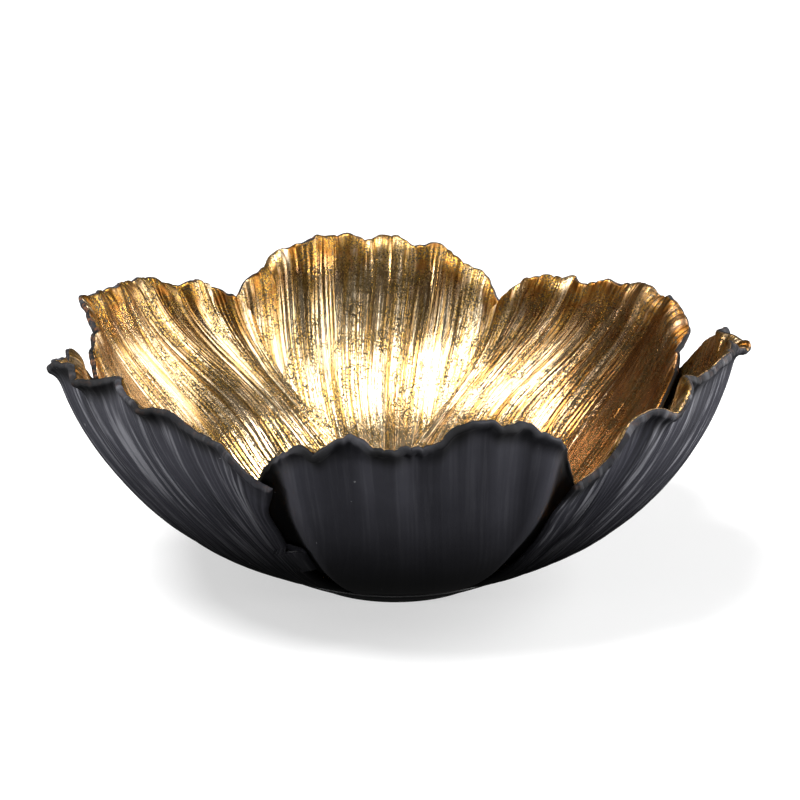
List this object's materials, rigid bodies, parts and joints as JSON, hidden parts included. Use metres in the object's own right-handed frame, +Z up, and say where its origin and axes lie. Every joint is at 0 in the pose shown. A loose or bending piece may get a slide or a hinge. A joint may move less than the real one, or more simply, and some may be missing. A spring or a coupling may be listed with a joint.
{
  "type": "decorative flower bowl",
  "caption": "Round centrepiece bowl shaped like an open flower, with overlapping ruffled petals, black outside and gilded inside, standing on a low round foot.",
  "frame": {"origin": "centre of the felt's underside, on the surface that the bowl stands on", "axes": "+Z up out of the bowl, -Y towards the front petal, +X to the right of someone who faces the front petal"},
  "size_m": [0.3446, 0.3498, 0.1413],
  "materials": {
    "black_resin": "satin black lacquer on ribbed cast resin",
    "gold_leaf": "burnished imitation gold leaf, mottled and browned at the rim",
    "black_felt": "matt pressed felt"
  },
  "bodies": {
    "root": {"foot": "black_resin", "felt_pad": "black_felt", "front_inner_petal": "black_resin", "back_left_inner_petal": "black_resin", "back_right_inner_petal": "black_resin", "back_outer_petal": "black_resin", "front_left_outer_petal": "black_resin", "front_right_outer_petal": "black_resin", "front_inner_petal_gilding": "gold_leaf", "back_left_inner_petal_gilding": "gold_leaf", "back_right_inner_petal_gilding": "gold_leaf", "back_outer_petal_gilding": "gold_leaf", "front_left_outer_petal_gilding": "gold_leaf", "front_right_outer_petal_gilding": "gold_leaf"}
  },
  "joints": []
}
